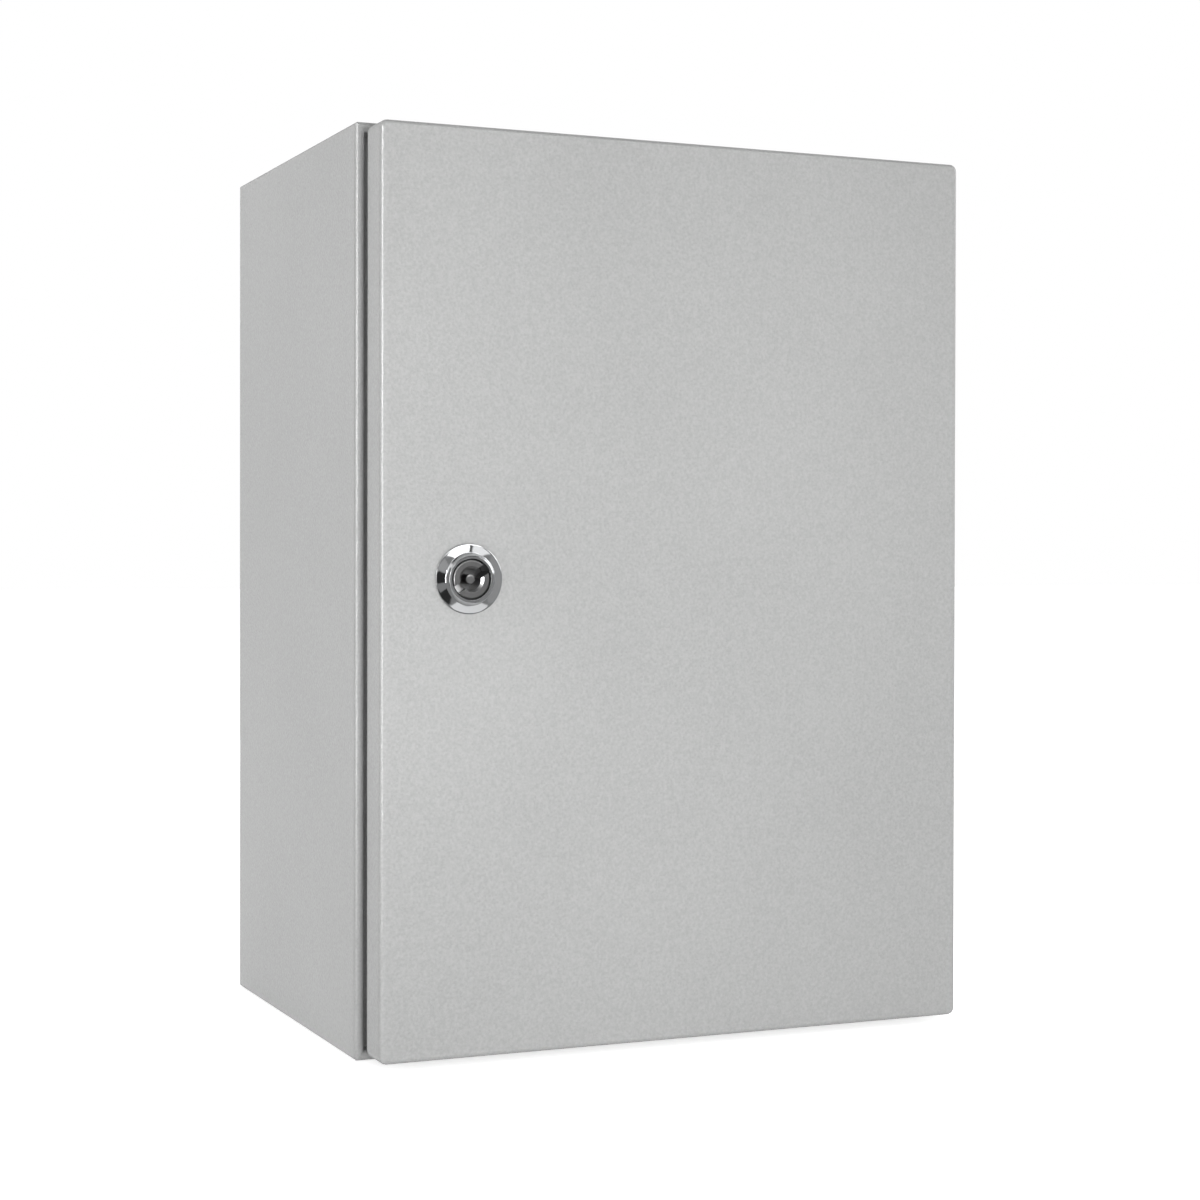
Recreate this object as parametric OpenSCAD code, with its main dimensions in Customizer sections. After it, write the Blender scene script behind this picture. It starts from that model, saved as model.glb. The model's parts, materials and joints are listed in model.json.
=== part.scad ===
// Wall-mounted steel switchboard cabinet with a hinged door, a quarter-turn lock,
// a mounting plate and a gland plate.
//
// Row frame: origin at the centre of the wall-hole pattern on the rear face, +X to the
// right as seen from the front, -Y out of the wall towards the front, +Z up.
// The parts are drawn lying on the wall, with X right, Y up and Z out of the wall,
// and stand_up() turns them into the row frame.

/* [Cabinet] */
// Overall width
cabinet_w = 250; // [200:1:400]
// Overall height
cabinet_h = 350; // [280:1:600]
// Overall depth from the wall to the door's front face
cabinet_d = 190; // [150:1:300]

/* [Body sheet] */
// Sheet thickness of the body
body_t = 1.2; // [1:0.1:1.6]
// Outer radius of the fold along the rear edges
body_bend_r = 1.8; // [1.4:0.1:2.4]
// Width of the round hem folded along the body's front edge
hem_w = 3.8; // [3.4:0.1:3.9]
// Outer radius of the body's four corners, seen from the front
body_corner_r = 1.4; // [0.6:0.1:2]
// Depth of the rain gutter behind the hem
gutter_depth = 8; // [5:0.5:12]
// Distance from the body's side to the outer face of the sealing lip
gutter_w = 16; // [15.6:0.1:22]
// Distance that the sealing lip stands forward of the hem
lip_h = 13.9; // [10:0.1:14.5]

/* [Door] */
// Sheet thickness of the door
door_t = 1.5; // [1.2:0.1:1.8]
// Distance that the door's outline lies inside the body's outline
door_inset = 2.5; // [2.2:0.1:3.2]
// Depth of the door's folded rim
door_depth = 15.8; // [14:0.1:19]
// Gap between the door's rim and the body's hem
door_gap = 6.6; // [6.4:0.1:8]
// Outer radius of the door's four corners
door_corner_r = 2.9; // [2.8:0.1:6]
// Outer radius of the door's front edges
door_bend_r = 2.4; // [2:0.1:2.8]
// Width of the foam gasket
gasket_w = 9; // [7:0.1:10]

/* [Lock] */
// Gap between the door gasket and the lock's nut
lock_gap = 1.4; // [1:0.1:12]
// Height of the lock's axis above the door's middle
lock_up = 5; // [-40:1:40]
// Outer radius of the rosette
rosette_r = 13; // [12:0.1:16]
// Outer radius of the lock's barrel
barrel_r = 10; // [9.6:0.1:11]
// Radius of the rotor's head
rotor_r = 7.5; // [6.5:0.1:8]
// Angle of the key slot above the horizontal
slot_angle = 35; // [0:1:90]
// Width of the key slot
slot_w = 3; // [2.4:0.1:3.4]
// Length of the cam, from the lock's axis to its tip
cam_reach = 28; // [25:0.1:30]
// Thickness of the cam
cam_t = 3; // [2:0.1:4]

/* [Hinges] */
// Height of each hinge's middle above or below the cabinet's middle
hinge_offset = 115; // [60:1:140]
// Radius of the hinge pin
pin_r = 1.5; // [1.2:0.05:1.7]
// Outer radius of the hinge knuckles
knuckle_r = 2.5; // [2.3:0.05:2.6]
// Length of the knuckle on the door's leaf
leaf_knuckle_len = 16; // [10:0.5:24]
// Length of each of the two knuckles on the body's bracket
bracket_knuckle_len = 10; // [6:0.5:14]

/* [Mounting plate] */
// Thickness of the mounting plate
plate_t = 2; // [1.5:0.1:3]
// Margin between the cabinet's outline and the mounting plate's outline
plate_margin = 20; // [18:0.5:26]
// Distance that the spacers hold the plate off the rear wall
plate_standoff = 12; // [8:0.5:30]
// Side of the square notch that opens each plate corner to its wall hole
plate_notch = 25; // [18:0.5:34]
// Distance from the plate's side edge to its stud holes
plate_stud_in = 15; // [12:0.5:20]
// Distance from the plate's top or bottom edge to its stud holes
plate_stud_down = 50; // [42:0.5:60]
// Thread radius of the plate studs and of the earth studs
stud_r = 3; // [2.5:0.1:3.4]

/* [Wall fixing] */
// Radius of the wall holes
wall_hole_r = 4.5; // [3:0.1:6]
// Distance from the cabinet's outline to each wall hole
wall_hole_in = 25; // [22:0.5:32]

/* [Gland plate] */
// Width of the cut-out in the cabinet's floor
gland_cut_w = 160; // [100:1:180]
// Depth of the cut-out in the cabinet's floor, along the cabinet's depth
gland_cut_d = 84; // [50:1:90]
// Distance from the wall to the cut-out's middle
gland_out = 85; // [70:1:100]
// Width of the gland gasket's border around the cut-out
gland_border = 14; // [13:0.1:18]
// Thickness of the gland gasket
gland_gasket_t = 2.5; // [1.5:0.1:4]
// Thickness of the gland plate
gland_plate_t = 1.5; // [1.2:0.1:2.5]
// Thread radius of the gland studs
gland_stud_r = 2.5; // [2:0.1:3]

/* [Hidden] */
$fn = 72;
// Small clearances, used wherever two pieces meet
soft_gap = 0.3;       // foam to the metal that presses on it
thread_gap = 0.02;    // stud to nut, pin to the knuckle that grips it
run_gap = 0.06;       // pin or shaft to the hole that turns on it
hole_gap = 0.15;      // fastener to its plain hole
cut = 1;              // how far a cutting shape runs past the face it cuts

// Planes, measured out of the wall
body_d = cabinet_d - door_depth - door_gap;
gutter_floor = body_d - gutter_depth;
flange_back = gutter_floor - body_t;
lip_front = body_d + lip_h;
door_inner = cabinet_d - door_t;
door_rim = cabinet_d - door_depth;
plate_back = body_t + plate_standoff;

// Outlines
edge_w = hem_w + 0.6;  // width of the body's edge section, from its outer face
door_w = cabinet_w - 2 * door_inset;
door_h = cabinet_h - 2 * door_inset;
mouth_in = gutter_w + body_t;
mouth_w = cabinet_w - 2 * mouth_in;
mouth_h = cabinet_h - 2 * mouth_in;
mouth_r = 3;
fold_in_r = 0.6;       // inner radius of the body's rear fold
gasket_mid = gutter_w + body_t / 2;
gasket_corner_r = 8;
gasket_in_r = 3;
plate_w = cabinet_w - 2 * plate_margin;
plate_h = cabinet_h - 2 * plate_margin;
plate_corner_r = 3;

// Lock
lock_nut_af = 2 * barrel_r + 4;
lock_nut_t = 5;
lock_x = gasket_mid + gasket_w / 2 + lock_gap + lock_nut_af / sqrt(3) - cabinet_w / 2;
lock_seal_t = 0.5;
lock_seal_in = 0.6;    // the seal's rim inside the rosette's rim
rosette_back = cabinet_d + lock_seal_t;
rosette_rim_t = 0.8;
bevel_w = 3.3;
bevel_rise = 0.9;
collar_rise = 1.7;
collar_wall = 0.9;     // thickness of the collar at its front
collar_edge = 0.3;     // chamfer round the collar's front
rosette_front = rosette_back + rosette_rim_t + bevel_rise + collar_rise;
barrel_len = 18;
barrel_back = cabinet_d - barrel_len;
barrel_floor_t = 5;
barrel_floor = barrel_back + barrel_floor_t;
barrel_flats = 2 * barrel_r - 1.6;
rotor_gap = 0.1;
rotor_front = rosette_front - 0.2;
rotor_back = barrel_floor + rotor_gap;
key_depth = 9;
key_cavity_r = rotor_r * 0.53;
key_pin_r = 1.8;
key_pin_drop = 1.3;
shaft_r = 4.95;
seal_ring_r = 0.5;
seal_groove_r = shaft_r - 2 * seal_ring_r;
seal_groove_w = 2 * seal_ring_r + 0.2;
seal_out = barrel_back + barrel_floor_t / 2;
cam_gap = 0.4;
cam_front = flange_back - cam_gap;
cam_back = cam_front - cam_t;
cam_w = 13;
cam_hub_r = 8.5;
square_side = 7;
square_gap = 0.1;
square_proud = 0.2;    // cam in front of the square's end, so that the washer clamps the cam
cam_screw_r = 2;
cam_screw_reach = 11;  // length of the screw inside the rotor
cam_screw_hole = 12;   // depth of its hole from the cam's back
cam_washer_r = 6;
cam_washer_t = 1;
cam_screw_head_r = 4;
cam_screw_head_h = 3;
hex_socket_r = 1.7;
hex_socket_h = 1.6;

// Hinges. The axis stands behind the inner face of the door's rim, in the door gap.
hinge_x = door_w / 2 - door_t;
hinge_out = door_rim - knuckle_r - soft_gap;
knuckle_space = 0.3;
hinge_half = leaf_knuckle_len / 2 + knuckle_space + bracket_knuckle_len;
bracket_t = 1.5;
bracket_gap = 1.2;     // from the lip to the bracket's foot
bracket_left = cabinet_w / 2 - gutter_w + bracket_gap;
web_t = 2;
web_gap = 0.7;
leaf_t = 1.8;
leaf_len = 30;
leaf_top = door_inner - 1.5;
leaf_foot = door_rim + 0.2;
pin_head_r = 2.3;
pin_head_h = 1.5;
pin_end = 1;           // pin beyond the lower knuckle
hinge_screw_r = 2;
hinge_screw_head_r = 3.4;
hinge_screw_head_h = 2;
hinge_screw_taper = 0.62;
hinge_screw_len = 8;
hinge_screw_x = bracket_left + hinge_screw_head_r + 0.7;
hinge_screw_y = hinge_half - 6;
hinge_nut_af = 7;
hinge_nut_t = 3.2;

// Mounting plate fasteners
plate_stud_x = plate_w / 2 - plate_stud_in;
plate_stud_y = plate_h / 2 - plate_stud_down;
spacer_r = stud_r + 2.5;
washer_r = 2.1 * stud_r;
washer_t = 1.2;
nut_af = 10 / 3 * stud_r;
nut_t = 5;
stud_collar_r = stud_r + 0.8;
stud_collar_h = 1;
stud_end = 1.8;
plate_stud_len = plate_standoff + plate_t + washer_t + nut_t + stud_end;
tip = 0.6;

// Gland plate
gland_corner_r = 5;
gland_stud_in = gland_border / 2;
gland_stud_x = gland_cut_w / 2 + gland_stud_in;
gland_stud_y = gland_cut_d / 2 + gland_stud_in;
gland_nut_af = 8;
gland_nut_t = 4.5;
gland_flange_r = 5.6;
gland_flange_t = 1.1;
gland_stud_len = gland_gasket_t + gland_plate_t + gland_flange_t + gland_nut_t + stud_end;

// Earth studs
earth_stud_len = 16;
body_earth_out = 32;         // from the hem back to the stud
body_earth_up = -cabinet_h / 2 + 12;
door_earth_x = door_w / 2 - 28.5;
door_earth_up = -door_h / 2 + 28.5;

paint = [0.74, 0.75, 0.75];
zinc = [0.72, 0.73, 0.72];
chrome = [0.85, 0.86, 0.88];
foam = [0.16, 0.16, 0.17];
rubber = [0.10, 0.10, 0.11];

// ---------- placing ----------

// Turns a part drawn lying on the wall into the row frame.
module stand_up() {
    rotate([90, 0, 0]) children();
}

// Puts a part that is drawn on the floor plane on the inside of the cabinet's floor.
module on_floor() {
    translate([0, -cabinet_h / 2 + body_t, gland_out]) rotate([-90, 0, 0]) children();
}

module at_corners(x, y) {
    for (sx = [-1, 1], sy = [-1, 1]) translate([sx * x, sy * y, 0]) children();
}

module at_gland_studs() {
    for (sx = [-1, 0, 1], sy = [-1, 1]) {
        translate([sx * gland_stud_x, sy * gland_stud_y, 0]) children();
    }
}

module at_lock() {
    translate([lock_x, lock_up, 0]) children();
}

// Puts a hinge part that is drawn about its own middle at a hinge. side is 1 for the upper one.
module at_hinge(side) {
    translate([0, side * hinge_offset, 0]) children();
}

module at_hinge_screws() {
    for (side = [-1, 1], end = [-1, 1]) {
        at_hinge(side) translate([hinge_screw_x, end * hinge_screw_y, 0]) children();
    }
}

// Turns a part drawn along Z to stand on the inner face of the right-hand wall.
module on_right_wall() {
    translate([cabinet_w / 2 - body_t, body_earth_up, body_d - body_earth_out])
        rotate([0, -90, 0]) children();
}

module on_door_inside() {
    translate([door_earth_x, door_earth_up, door_inner]) rotate([180, 0, 0]) children();
}

// ---------- shapes ----------

// Rectangle with round corners, centred.
module round_rect(w, h, r) {
    square([w - 2 * r, h], center = true);
    square([w, h - 2 * r], center = true);
    for (sx = [-1, 1], sy = [-1, 1]) translate([sx * (w / 2 - r), sy * (h / 2 - r)]) circle(r);
}

// Flat frame between two outlines.
module flat_frame(w, h, r, border, inner_r) {
    difference() {
        round_rect(w, h, r);
        round_rect(w - 2 * border, h - 2 * border, inner_r);
    }
}

// Strip from x = 0 to a and from y = 0 to b, with its top outer corner rounded by top_r
// and its bottom outer corner by bottom_r.
module strip(a, b, top_r, bottom_r) {
    difference() {
        square([a, b]);
        if (top_r > 0) translate([a - top_r, b - top_r]) difference() {
            square(top_r + cut);
            circle(top_r);
        }
        if (bottom_r > 0) translate([a - bottom_r, bottom_r]) difference() {
            translate([0, -bottom_r - cut]) square(bottom_r + cut);
            circle(bottom_r);
        }
    }
}

// Carries a profile round a rectangle of w by h whose corners have radius r.
// The profile's x is the distance out from the corners' centres, its y is the depth.
module carry_round(w, h, r) {
    for (k = [0:3]) {
        run = k % 2 == 0 ? w : h;
        across = k % 2 == 0 ? h : w;
        rotate([0, 0, 90 * k]) translate([-run / 2 + r, across / 2 - r, 0]) {
            rotate([90, 0, 90]) linear_extrude(run - 2 * r) children();
            rotate([0, 0, 90]) rotate_extrude(angle = 90) children();
        }
    }
}

// Carries a profile of width edge round a rectangle of w by h, with mitred corners.
// The profile's x runs outwards, its y is the depth. reach is more than the profile's depth.
module carry_mitred(w, h, edge, reach) {
    for (k = [0:3]) {
        run = k % 2 == 0 ? w : h;
        across = k % 2 == 0 ? h : w;
        rotate([0, 0, 90 * k]) intersection() {
            translate([-run / 2, across / 2 - edge, 0]) rotate([90, 0, 90])
                linear_extrude(run) children();
            linear_extrude(reach) polygon([
                [-run / 2, across / 2], [run / 2, across / 2],
                [run / 2 - edge, across / 2 - edge], [edge - run / 2, across / 2 - edge],
            ]);
        }
    }
}

// What a cut takes off to round the four upright edges of a block of w by h.
module corner_waste(w, h, r, reach) {
    for (k = [0:3]) {
        run = k % 2 == 0 ? w : h;
        across = k % 2 == 0 ? h : w;
        rotate([0, 0, 90 * k]) translate([run / 2 - r, across / 2 - r, -cut])
            linear_extrude(reach + 2 * cut) difference() {
                square(r + cut);
                circle(r);
            }
    }
}

// Tube ring standing on z = 0.
module ring(outer_r, inner_r, h) {
    difference() {
        cylinder(r = outer_r, h = h);
        translate([0, 0, -cut]) cylinder(r = inner_r, h = h + 2 * cut);
    }
}

// Hexagon nut standing on z = 0, with its face corners turned off. af is its width across flats.
module hex_nut(af, bore_r, h) {
    corner_r = af / sqrt(3);
    chamfer = 0.6 * (corner_r - af / 2);
    difference() {
        intersection() {
            cylinder(r = corner_r, h = h, $fn = 6);
            rotate_extrude() polygon([
                [0, 0], [corner_r - chamfer, 0], [corner_r, chamfer],
                [corner_r, h - chamfer], [corner_r - chamfer, h], [0, h],
            ]);
        }
        translate([0, 0, -cut]) cylinder(r = bore_r, h = h + 2 * cut);
    }
}

// Weld stud standing on z = 0: a collar, the thread and a pointed tip.
module weld_stud(r, len, collar_r = 0) {
    cylinder(r = r, h = len - tip);
    translate([0, 0, len - tip]) cylinder(r1 = r, r2 = r - tip, h = tip);
    if (collar_r > 0) cylinder(r = collar_r, h = stud_collar_h);
}

// ---------- body ----------

// Section through a wall of the body: the wall with its fold at the rear, the round hem along
// the front edge, which is open behind, and the gutter's floor.
module body_section() {
    wall_in = edge_w - body_t;
    hem_r = hem_w / 2;
    hem_in = edge_w - hem_w;
    slot_r = hem_r - body_t;
    difference() {
        strip(edge_w, body_d, hem_r, body_bend_r);
        translate([0, body_t]) strip(wall_in, flange_back - body_t, 0, fold_in_r);
        translate([hem_in + body_t, flange_back - cut])
            square([2 * slot_r, body_d - hem_r - flange_back + cut]);
        translate([edge_w - hem_r, body_d - hem_r]) circle(slot_r);
        translate([-cut, gutter_floor]) square([hem_in + cut, gutter_depth + cut]);
        translate([hem_in + hem_r, body_d - hem_r]) difference() {
            translate([-hem_r - cut, 0]) square(hem_r + cut);
            circle(hem_r);
        }
    }
}

module body_shell() {
    color(paint) stand_up() difference() {
        union() {
            carry_mitred(cabinet_w, cabinet_h, edge_w, body_d + cut) body_section();
            sheet_between_edges(body_t);
            translate([0, 0, flange_back]) difference() {
                sheet_between_edges(body_t);
                translate([0, 0, -cut]) linear_extrude(body_t + 2 * cut)
                    round_rect(mouth_w, mouth_h, mouth_r);
            }
            translate([0, 0, flange_back]) linear_extrude(lip_front - flange_back) flat_frame(
                mouth_w + 2 * body_t, mouth_h + 2 * body_t, mouth_r + body_t, body_t, mouth_r
            );
        }
        corner_waste(cabinet_w, cabinet_h, body_corner_r, body_d);
        at_corners(cabinet_w / 2 - wall_hole_in, cabinet_h / 2 - wall_hole_in)
            translate([0, 0, -cut]) cylinder(r = wall_hole_r, h = body_t + 2 * cut);
        at_hinge_screws() translate([0, 0, flange_back - cut])
            cylinder(r = hinge_screw_r + hole_gap, h = body_t + 2 * cut);
        on_floor() translate([0, 0, -body_t - cut]) linear_extrude(body_t + 2 * cut)
            round_rect(gland_cut_w, gland_cut_d, gland_corner_r);
    }
}

// Flat sheet that fills the outline inside the body's edge section.
module sheet_between_edges(t) {
    linear_extrude(t) square([cabinet_w - 2 * edge_w, cabinet_h - 2 * edge_w], center = true);
}

// ---------- gland plate ----------

module gland_outline() {
    round_rect(
        gland_cut_w + 2 * gland_border, gland_cut_d + 2 * gland_border, gland_corner_r
    );
}

module gland_gasket() {
    color(foam) stand_up() on_floor() linear_extrude(gland_gasket_t) difference() {
        gland_outline();
        round_rect(gland_cut_w, gland_cut_d, gland_corner_r);
        at_gland_studs() circle(gland_stud_r + hole_gap);
    }
}

module gland_plate() {
    color(paint) stand_up() on_floor() translate([0, 0, gland_gasket_t])
        linear_extrude(gland_plate_t) difference() {
            gland_outline();
            at_gland_studs() circle(gland_stud_r + hole_gap);
        }
}

module gland_studs() {
    color(zinc) stand_up() on_floor() at_gland_studs() weld_stud(gland_stud_r, gland_stud_len);
}

module gland_nuts() {
    color(zinc) stand_up() on_floor() at_gland_studs()
        translate([0, 0, gland_gasket_t + gland_plate_t]) {
            ring(gland_flange_r, gland_stud_r + thread_gap, gland_flange_t);
            translate([0, 0, gland_flange_t - 0.1])
                hex_nut(gland_nut_af, gland_stud_r + thread_gap, gland_nut_t + 0.1);
        }
}

// ---------- mounting plate ----------

module mounting_plate() {
    color(zinc) stand_up() translate([0, 0, plate_back]) linear_extrude(plate_t) difference() {
        round_rect(plate_w, plate_h, plate_corner_r);
        at_corners(plate_w / 2, plate_h / 2)
            round_rect(2 * plate_notch, 2 * plate_notch, plate_corner_r);
        at_corners(plate_stud_x, plate_stud_y) circle(stud_r + hole_gap);
    }
}

module plate_studs() {
    color(zinc) stand_up() at_corners(plate_stud_x, plate_stud_y) translate([0, 0, body_t])
        weld_stud(stud_r, plate_stud_len);
}

module plate_spacers() {
    color(zinc) stand_up() at_corners(plate_stud_x, plate_stud_y) translate([0, 0, body_t])
        ring(spacer_r, stud_r + hole_gap, plate_standoff);
}

module plate_washers() {
    color(zinc) stand_up() at_corners(plate_stud_x, plate_stud_y)
        translate([0, 0, plate_back + plate_t]) ring(washer_r, stud_r + hole_gap, washer_t);
}

module plate_nuts() {
    color(zinc) stand_up() at_corners(plate_stud_x, plate_stud_y)
        translate([0, 0, plate_back + plate_t + washer_t])
            hex_nut(nut_af, stud_r + thread_gap, nut_t);
}

// ---------- hinges ----------

// Knuckle along Y, centred on the hinge's axis.
module knuckle(len, bore_r) {
    translate([hinge_x, len / 2, hinge_out]) rotate([90, 0, 0]) difference() {
        cylinder(r = knuckle_r, h = len);
        translate([0, 0, -cut]) cylinder(r = bore_r, h = len + 2 * cut);
    }
}

// Room for a piece that turns about the hinge's pin.
module pin_room(r) {
    translate([hinge_x, hinge_half + cut, hinge_out]) rotate([90, 0, 0])
        cylinder(r = r, h = 2 * (hinge_half + cut));
}

// Angle bracket that stands in the gutter: a foot on its floor, a web, and two knuckles.
module hinge_bracket(side) {
    knuckle_mid = hinge_half - bracket_knuckle_len / 2;
    notch_half = leaf_knuckle_len / 2 + knuckle_space;
    notch_floor = hinge_out - knuckle_r - web_gap;
    color(zinc) stand_up() at_hinge(side) difference() {
        union() {
            translate([bracket_left, -hinge_half, gutter_floor])
                cube([hinge_x - bracket_left, 2 * hinge_half, bracket_t]);
            translate([hinge_x - web_t, -hinge_half, gutter_floor])
                cube([web_t, 2 * hinge_half, hinge_out - gutter_floor]);
            for (end = [-1, 1]) translate([0, end * knuckle_mid, 0])
                knuckle(bracket_knuckle_len, pin_r + thread_gap);
        }
        translate([hinge_x - web_t - cut, -notch_half, notch_floor])
            cube([web_t + 2 * cut, 2 * notch_half, door_gap]);
        pin_room(pin_r + thread_gap);
        for (end = [-1, 1]) translate([hinge_screw_x, end * hinge_screw_y, gutter_floor - cut])
            cylinder(r = hinge_screw_r + hole_gap, h = bracket_t + 2 * cut);
    }
}

module hinge_leaf(side) {
    color(zinc) stand_up() at_hinge(side) difference() {
        union() {
            translate([hinge_x - leaf_t, -leaf_len / 2, leaf_foot])
                cube([leaf_t, leaf_len, leaf_top - leaf_foot]);
            translate([hinge_x - leaf_t, -leaf_knuckle_len / 2, hinge_out])
                cube([leaf_t, leaf_knuckle_len, leaf_foot - hinge_out + cut]);
            knuckle(leaf_knuckle_len, pin_r + run_gap);
        }
        pin_room(pin_r + run_gap);
    }
}

module hinge_pin(side) {
    color(zinc) stand_up() at_hinge(side) translate([hinge_x, hinge_half, hinge_out])
        rotate([90, 0, 0]) {
            cylinder(r = pin_r, h = 2 * hinge_half + pin_end);
            translate([0, 0, -pin_head_h]) cylinder(r = pin_head_r, h = pin_head_h);
        }
}

module hinge_screws() {
    color(zinc) stand_up() at_hinge_screws() {
        translate([0, 0, gutter_floor + bracket_t - hinge_screw_len])
            cylinder(r = hinge_screw_r, h = hinge_screw_len + hinge_screw_head_h / 4);
        translate([0, 0, gutter_floor + bracket_t]) difference() {
            cylinder(
                r1 = hinge_screw_head_r, r2 = hinge_screw_taper * hinge_screw_head_r,
                h = hinge_screw_head_h
            );
            translate([0, 0, hinge_screw_head_h / 2])
                cylinder(r = hinge_screw_r * 0.7, h = hinge_screw_head_h, $fn = 6);
        }
    }
}

module hinge_nuts() {
    color(zinc) stand_up() at_hinge_screws() translate([0, 0, flange_back - hinge_nut_t])
        hex_nut(hinge_nut_af, hinge_screw_r + thread_gap, hinge_nut_t);
}

// ---------- door ----------

module door_panel() {
    color(paint) stand_up() difference() {
        union() {
            translate([0, 0, door_rim]) carry_round(door_w, door_h, door_corner_r) difference() {
                strip(door_corner_r, door_depth, door_bend_r, 0);
                translate([0, -cut]) strip(
                    door_corner_r - door_t, door_depth - door_t + cut, door_bend_r - door_t, 0
                );
            }
            translate([0, 0, door_inner]) linear_extrude(door_t) square(
                [door_w - 2 * door_corner_r, door_h - 2 * door_corner_r], center = true
            );
        }
        at_lock() translate([0, 0, door_inner - cut]) linear_extrude(door_t + 2 * cut)
            barrel_section(barrel_r + hole_gap, barrel_flats + 2 * hole_gap);
    }
}

module door_gasket() {
    out = cabinet_w - 2 * gasket_mid + gasket_w;
    up = cabinet_h - 2 * gasket_mid + gasket_w;
    color(foam) stand_up() translate([0, 0, lip_front + soft_gap])
        linear_extrude(door_inner - lip_front - soft_gap)
            flat_frame(out, up, gasket_corner_r, gasket_w, gasket_in_r);
}

// ---------- lock ----------

// Round barrel with a flat on its left and right.
module barrel_section(r, flats) {
    intersection() {
        circle(r);
        square([flats, 2 * r + 2], center = true);
    }
}

module lock_housing() {
    color(chrome) stand_up() at_lock() difference() {
        union() {
            rotate_extrude() polygon([
                [0, rosette_back], [rosette_r, rosette_back],
                [rosette_r, rosette_back + rosette_rim_t],
                [rosette_r - bevel_w, rosette_back + rosette_rim_t + bevel_rise],
                [rotor_r + collar_wall + collar_edge, rosette_front - collar_edge],
                [rotor_r + collar_wall, rosette_front], [0, rosette_front],
            ]);
            translate([0, 0, barrel_back]) linear_extrude(rosette_back - barrel_back)
                barrel_section(barrel_r, barrel_flats);
        }
        translate([0, 0, barrel_floor])
            cylinder(r = rotor_r + rotor_gap, h = rosette_front - barrel_floor + cut);
        translate([0, 0, barrel_back - cut])
            cylinder(r = shaft_r + rotor_gap, h = barrel_floor_t + 2 * cut);
    }
}

module lock_seal() {
    color(rubber) stand_up() at_lock() translate([0, 0, cabinet_d])
        ring(rosette_r - lock_seal_in, barrel_r + soft_gap, lock_seal_t);
}

module lock_nut() {
    color(zinc) stand_up() at_lock() translate([0, 0, door_inner - lock_nut_t])
        hex_nut(lock_nut_af, barrel_r + thread_gap, lock_nut_t);
}

module lock_rotor() {
    color(chrome) stand_up() at_lock() difference() {
        union() {
            difference() {
                translate([0, 0, rotor_back]) cylinder(r = rotor_r, h = rotor_front - rotor_back);
                translate([0, 0, rotor_front - key_depth]) {
                    cylinder(r = key_cavity_r, h = key_depth + cut);
                    rotate([0, 0, slot_angle]) translate([-rotor_r - cut, -slot_w / 2, 0])
                        cube([2 * (rotor_r + cut), slot_w, key_depth + cut]);
                }
            }
            translate([0, 0, rotor_front - key_depth - cut])
                cylinder(r = key_pin_r, h = key_depth + cut - key_pin_drop);
            translate([0, 0, cam_front]) cylinder(r = shaft_r, h = rotor_back - cam_front + cut);
            translate([-square_side / 2, -square_side / 2, cam_back + square_proud])
                cube([square_side, square_side, cam_t]);
        }
        translate([0, 0, seal_out - seal_groove_w / 2])
            ring(shaft_r + cut, seal_groove_r, seal_groove_w);
        translate([0, 0, cam_back - cut])
            cylinder(r = cam_screw_r + thread_gap, h = cam_screw_hole + cut);
    }
}

module rotor_seal() {
    color(rubber) stand_up() at_lock() translate([0, 0, seal_out]) rotate_extrude()
        translate([seal_groove_r + seal_ring_r + thread_gap, 0]) circle(seal_ring_r);
}

// The cam hangs down when the lock is open, and turns to the left behind the flange to lock.
module lock_cam() {
    tip_r = cam_w / 2;
    color(zinc) stand_up() at_lock() translate([0, 0, cam_back]) linear_extrude(cam_t)
        difference() {
            union() {
                circle(cam_hub_r);
                translate([-tip_r, tip_r - cam_reach]) square([cam_w, cam_reach - tip_r]);
                translate([0, tip_r - cam_reach]) circle(tip_r);
            }
            square(square_side + 2 * square_gap, center = true);
        }
}

module cam_washer() {
    color(zinc) stand_up() at_lock() translate([0, 0, cam_back - cam_washer_t])
        ring(cam_washer_r, cam_screw_r + hole_gap, cam_washer_t);
}

module cam_screw() {
    head_back = cam_back - cam_washer_t - cam_screw_head_h;
    color(zinc) stand_up() at_lock() translate([0, 0, head_back]) difference() {
        union() {
            cylinder(r = cam_screw_head_r, h = cam_screw_head_h);
            cylinder(r = cam_screw_r, h = cam_screw_head_h + cam_washer_t + cam_screw_reach);
        }
        translate([0, 0, -cut]) cylinder(r = hex_socket_r, h = cut + hex_socket_h, $fn = 6);
    }
}

// ---------- earth studs ----------

module earth_stud() {
    color(zinc) weld_stud(stud_r, earth_stud_len, stud_collar_r);
}

module earth_washer() {
    color(zinc) translate([0, 0, stud_collar_h]) ring(washer_r, stud_r + hole_gap, washer_t);
}

module earth_nut() {
    color(zinc) translate([0, 0, stud_collar_h + washer_t])
        hex_nut(nut_af, stud_r + thread_gap, nut_t);
}

// ---------- nodes ----------

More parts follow.
